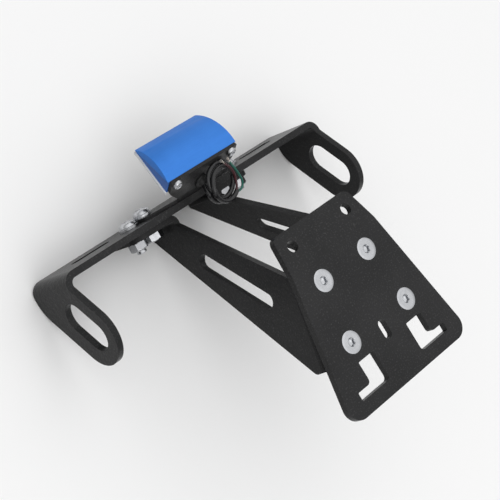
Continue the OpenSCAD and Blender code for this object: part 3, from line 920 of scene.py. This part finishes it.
def socket_rows(face, across, depth):
    """A hexagon socket from the head's face down to its drilled floor."""
    half = across / 2
    return [
        (face, half * 1.26, None),
        (face - 0.12, half * 1.19, None),
        (face - 0.45, half * 1.16, half),
        (face - depth, half * 1.16, half),
        (face - depth - 0.3, half * 0.7, None),
        (face - depth - 0.9, 0, None),
    ]


def bore_rows(bottom, top, radius, pitch):
    """A threaded bore from its lower countersink to its upper one."""
    rows = [(bottom, radius + 0.35, None), (bottom + 0.35, radius, None)]
    height = bottom + 0.35
    while height + pitch < top - 0.3:
        rows.append((height + pitch * 0.5, radius - 0.01 + pitch * 0.1, None))
        rows.append((height + pitch, radius, None))
        height += pitch
    return rows + [(top, radius + 0.35, None)]


THREAD_R = 3.0
THREAD_PITCH = 1.0
SOCKET_ACROSS = 4.0
SCREW_LENGTH = 20.0
NUT_H = 5.0
NUT_HALF = 5.0
WASHER_T = 1.6


def shank_rows(length, thread_top):
    """A threaded shank from its blunt tip up to the thread's end."""
    rows = [(-length, 0, None), (-length, 2.3, None), (-length + 0.5, 2.95, None)]
    return rows + list(reversed(thread_rows(thread_top, -length + 0.6, THREAD_R, THREAD_PITCH)))


def sunk_screw():
    """A countersunk screw with its head's flat face at the height 0."""
    rows = shank_rows(SCREW_LENGTH, -8.2)
    rows += [(-8.0, 2.98, None), (-3.25, THREAD_R, None), (-0.35, 5.9, None), (-0.18, 6.13, None)]
    rows += [(-0.06, 6.17, None), (0.0, 6.05, None), (0.0, 4.6, None)]
    return turned_item("sunk screw", rows + socket_rows(0.0, SOCKET_ACROSS, 2.2))


def round_head_bolt(length):
    """A low round head on a threaded shank, head outward."""
    rows = shank_rows(length, -0.6)
    rows += [(-0.3, THREAD_R, None), (0.0, THREAD_R, None)]
    rows += [(0.0, 5.05, None), (0.12, 5.22, None), (0.9, 5.2, None)]
    for turn in (20, 38, 55, 70):
        reach = math.radians(turn)
        rows.append((0.9 + 2.05 * math.sin(reach), 2.7 + 2.5 * math.cos(reach), None))
    rows.append((3.0, 2.9, None))
    return turned_item("round head bolt", rows + socket_rows(3.0, SOCKET_ACROSS, 1.6))


def hex_nut_item():
    """A hexagon nut with chamfered corners, its lower face at the height 0."""
    corner = NUT_HALF / math.cos(math.pi / 6)
    rows = bore_rows(0.0, NUT_H, THREAD_R, 0.8)
    edge = [
        (NUT_H, NUT_HALF * 0.96, None),
        (NUT_H - 0.25, NUT_HALF * 1.03, NUT_HALF),
        (NUT_H - 0.55, corner * 0.995, NUT_HALF),
        (NUT_H - 0.9, corner, NUT_HALF),
    ]
    low_edge = [(NUT_H - height, radius, apothem) for height, radius, apothem in reversed(edge)]
    return turned_item("hex nut", rows + edge + low_edge, 60)


def washer_item():
    rows = [(0.0, 3.3, None), (0.1, 3.25, None), (WASHER_T - 0.1, 3.25, None), (WASHER_T, 3.3, None)]
    rows += [(WASHER_T, 5.85, None), (WASHER_T - 0.15, 6.0, None), (0.15, 6.0, None), (0.0, 5.9, None)]
    return turned_item("washer", rows, 64)


def pan_screw():
    """A small screw with a rounded head, head outward."""
    rows = [(-5.4, 0, None), (-5.4, 1.1, None), (-5.1, 1.4, None)]
    rows += list(reversed(thread_rows(-0.5, -5.0, 1.5, 0.5)))
    rows += [(0.0, 1.5, None), (0.0, 2.9, None), (0.15, 3.0, None), (0.9, 2.98, None)]
    rows += [(1.5, 2.75, None), (1.95, 2.3, None), (2.17, 1.75, None), (2.2, 1.45, None)]
    return turned_item("pan screw", rows + socket_rows(2.2, 2.0, 0.9), 36)


def make_setting_tree():
    """Sets one item on every point of a mesh, turned one way and spun a little at random."""
    tree = bpy.data.node_groups.new("Set in places", "GeometryNodeTree")
    sockets = {}
    for label, kind in (
        ("Places", "NodeSocketGeometry"),
        ("Item", "NodeSocketObject"),
        ("Turn", "NodeSocketRotation"),
        ("Most spin", "NodeSocketFloat"),
        ("Seed", "NodeSocketInt"),
        ("Finish", "NodeSocketMaterial"),
    ):
        sockets[label] = tree.interface.new_socket(label, in_out="INPUT", socket_type=kind).identifier
    tree.interface.new_socket("Geometry", in_out="OUTPUT", socket_type="NodeSocketGeometry")
    start = tree.nodes.new("NodeGroupInput")
    end = tree.nodes.new("NodeGroupOutput")
    item = add_node(tree, "GeometryNodeObjectInfo")
    item.inputs["As Instance"].default_value = True
    wire(tree, start.outputs["Item"], item.inputs["Object"])
    spin = add_node(tree, "FunctionNodeRandomValue", data_type="FLOAT")
    spin.inputs[2].default_value = 0.0
    wire(tree, start.outputs["Most spin"], spin.inputs[3])
    wire(tree, start.outputs["Seed"], spin.inputs["Seed"])
    about = add_node(tree, "FunctionNodeAxisAngleToRotation")
    about.inputs["Axis"].default_value = (0.0, 0.0, 1.0)
    wire(tree, spin.outputs[1], about.inputs["Angle"])
    turn = add_node(tree, "FunctionNodeRotateRotation", rotation_space="LOCAL")
    wire(tree, start.outputs["Turn"], turn.inputs["Rotation"])
    wire(tree, about.outputs["Rotation"], turn.inputs["Rotate By"])
    place = add_node(tree, "GeometryNodeInstanceOnPoints")
    wire(tree, start.outputs["Places"], place.inputs["Points"])
    wire(tree, item.outputs["Geometry"], place.inputs["Instance"])
    wire(tree, turn.outputs["Rotation"], place.inputs["Rotation"])
    real = add_node(tree, "GeometryNodeRealizeInstances")
    wire(tree, place.outputs["Instances"], real.inputs["Geometry"])
    finish = add_node(tree, "GeometryNodeSetMaterial")
    wire(tree, real.outputs["Geometry"], finish.inputs["Geometry"])
    wire(tree, start.outputs["Finish"], finish.inputs["Material"])
    wire(tree, finish.outputs["Geometry"], end.inputs["Geometry"])
    return tree, sockets


SETTING_TREE, SETTING_SOCKETS = make_setting_tree()


def set_in_places(name, item, places, turn, node, seed, finish, slot="zinc", most=math.pi / 3):
    """The item in all places of one CAD node, as one plain mesh that stands for it."""
    data = bpy.data.meshes.new(name)
    data.from_pydata([tuple(p) for p in places], [], [])
    piece = bpy.data.objects.new(name, data)
    bpy.context.scene.collection.objects.link(piece)
    setting = piece.modifiers.new("Setting", "NODES")
    setting.node_group = SETTING_TREE
    values = {"Item": item, "Turn": turn, "Most spin": most, "Seed": seed, "Finish": finish}
    for label, value in values.items():
        setting[SETTING_SOCKETS[label]] = value
    bpy.context.view_layer.update()
    done = bpy.data.meshes.new_from_object(piece.evaluated_get(bpy.context.evaluated_depsgraph_get()))
    piece.modifiers.clear()
    piece.data = done
    return stand_for(piece, slot, node)


UPWARD = (0.0, 0.0, 0.0)
REARWARD = (BAR_TILT - math.pi / 2, 0.0, 0.0)
LEG_FORWARD = (BAR_TILT - LEG_ANGLE + math.pi / 2, 0.0, 0.0)
PLATE_T = 4.0
PLATE_SCREWS = [(-17.85, 17.2), (17.85, 17.2), (-23.35, -17.2), (23.35, -17.2)]
BOLT_X = (-40.8, -28.9, 28.9, 40.8)
BOLT_U = -18.0
BOLT_LENGTH = 17.0
LAMP_SCREW_X = (-21.6, 21.6)
LAMP_SCREW_UP = 18.5


def bolt_back(x):
    """How far behind the bar a bolt's washer starts: the inner two hold the lamp bracket as well."""
    return BRACKET_T if abs(x) < 35 else 0.0


def under_plate(depth):
    """The plate screws' places at a depth under the plate's top."""
    return [Vector((x, y, -depth)) * MM for x, y in PLATE_SCREWS]


def behind_bar(gap):
    """The bar bolts' places, so far behind what each one clamps."""
    return [on_bar(x, bolt_back(x) + gap, BOLT_U) for x in BOLT_X]


screw_item = sunk_screw()
bolt_item = round_head_bolt(BOLT_LENGTH)
nut_item = hex_nut_item()
washer = washer_item()
small_screw = pan_screw()
washer_depth = PLATE_T + ARM_T + WASHER_T
nut_depth = washer_depth + NUT_H
nut_places = [on_bar(x, -BAR_T - ARM_T - NUT_H, BOLT_U) for x in BOLT_X]
lamp_screw_places = [on_leg(x, -BRACKET_T, LAMP_SCREW_UP) for x in LAMP_SCREW_X]
set_in_places("plate_screw_set", screw_item, under_plate(0.0), UPWARD, "plate_screws", 3, STEEL)
set_in_places("plate_washer_set", washer, under_plate(washer_depth), UPWARD, "plate_washers", 1, STEEL)
# The nuts take the darker zinc, which is painted shade.
set_in_places("plate_nut_set", nut_item, under_plate(nut_depth), UPWARD, "plate_nuts", 5, SHADED_NUT_STEEL)
set_in_places("bar_bolt_set", bolt_item, behind_bar(WASHER_T), REARWARD, "arm_bolts", 2, STEEL)
set_in_places("bar_washer_set", washer, behind_bar(0.0), REARWARD, "arm_bolt_washers", 1, STEEL)
set_in_places("bar_nut_set", nut_item, nut_places, REARWARD, "arm_nuts", 4, SHADED_NUT_STEEL, most=0.3)
set_in_places("lamp_screw_set", small_screw, lamp_screw_places, LEG_FORWARD, "lamp_screws", 6, STEEL)
for item in (screw_item, bolt_item, nut_item, washer, small_screw):
    bpy.data.objects.remove(item)


# Grommet: a collared rubber bush with a short sleeve that grips the lead.
def make_grommet():
    rows = [(-1.4, 1.45, None), (-1.4, 4.2, None), (-1.05, 4.4, None), (-0.35, 4.4, None), (0.0, 4.1, None)]
    rows += [(0.0, 3.2, None), (2.0, 3.2, None), (2.0, 4.1, None), (2.3, 4.4, None), (2.9, 4.35, None)]
    rows += [(3.3, 4.0, None), (3.5, 3.0, None), (4.4, 2.3, None), (5.4, 2.0, None), (5.7, 1.75, None)]
    rows += [(5.7, 1.45, None)]
    item = turned_item("grommet", rows, 48)
    place = [on_leg(0.0, 0.0, LEG_HOLE_UP)]
    set_in_places("lead_bush", item, place, LEG_FORWARD, "lead_grommet", 7, RUBBER, "rubber", most=0.0)
    bpy.data.objects.remove(item)


make_grommet()


# Floor, light and background.
FLOOR_HALF = 4.0
FLOOR_DARK = (0.16, 0.16, 0.16, 1.0)
FLOOR_PALE = (0.92, 0.92, 0.92, 1.0)
WHITE = (1.0, 1.0, 1.0, 1.0)
HORIZON_LIGHT = 0.20
TOP_LIGHT = 1.15
PANEL_SIZE = 1.1
PANELS = (
    ("key_panel", (-0.55, -0.75, 1.25), (0.0, 0.0, -0.05), 4.2),
    ("back_panel", (0.75, 1.00, 0.90), (0.0, 0.03, -0.05), 1.4),
)


def make_floor():
    """A plain floor: pale where it is looked at or mirrored, darker for the light that it throws back up."""
    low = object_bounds()[0][2] - 0.0005
    corners = ((-1, -1), (1, -1), (1, 1), (-1, 1))
    data = bpy.data.meshes.new("floor")
    data.from_pydata([(x * FLOOR_HALF, y * FLOOR_HALF, low) for x, y in corners], [], [(0, 1, 2, 3)])
    floor = bpy.data.objects.new("floor", data)
    bpy.context.scene.collection.objects.link(floor)
    material = bpy.data.materials.new("Pale floor")
    material.use_nodes = True
    tree = material.node_tree
    shader = tree.nodes["Principled BSDF"]
    path = add_node(tree, "ShaderNodeLightPath")
    seen = math_node(tree, "ADD", path.outputs["Is Camera Ray"], path.outputs["Is Glossy Ray"])
    seen = math_node(tree, "ADD", seen, path.outputs["Is Transmission Ray"])
    seen = math_node(tree, "MINIMUM", seen, 1.0)
    wire(tree, blend_node(tree, seen, FLOOR_DARK, FLOOR_PALE), shader.inputs["Base Color"])
    shader.inputs["Roughness"].default_value = 0.9
    shader.inputs["Specular IOR Level"].default_value = 0.1
    data.materials.append(material)


def make_room_light():
    """Soft light from all round, strongest from above, with a white background."""
    world = bpy.data.worlds.new("Soft room")
    world.use_nodes = True
    bpy.context.scene.world = world
    sky = world.node_tree
    coords = add_node(sky, "ShaderNodeTexCoord")
    split = add_node(sky, "ShaderNodeSeparateXYZ")
    wire(sky, coords.outputs["Generated"], split.inputs["Vector"])
    rise = add_node(sky, "ShaderNodeMapRange")
    rise.inputs["From Min"].default_value = 0.0
    rise.inputs["From Max"].default_value = 0.9
    rise.inputs["To Min"].default_value = HORIZON_LIGHT
    rise.inputs["To Max"].default_value = TOP_LIGHT
    wire(sky, split.outputs["Z"], rise.inputs["Value"])
    path = add_node(sky, "ShaderNodeLightPath")
    seen = math_node(sky, "MAXIMUM", rise.outputs["Result"], path.outputs["Is Camera Ray"])
    wire(sky, seen, sky.nodes["Background"].inputs["Strength"])
    sky.nodes["Background"].inputs["Color"].default_value = WHITE


def make_panels():
    for name, place, aim, power in PANELS:
        lamp = bpy.data.lights.new(name, "AREA")
        lamp.shape = "SQUARE"
        lamp.size = PANEL_SIZE
        lamp.energy = power
        light = bpy.data.objects.new(name, lamp)
        light.location = place
        light.rotation_euler = (Vector(aim) - Vector(place)).to_track_quat("-Z", "Y").to_euler()
        bpy.context.scene.collection.objects.link(light)


make_floor()
make_room_light()
make_panels()
bpy.context.scene.view_settings.view_transform = "Standard"
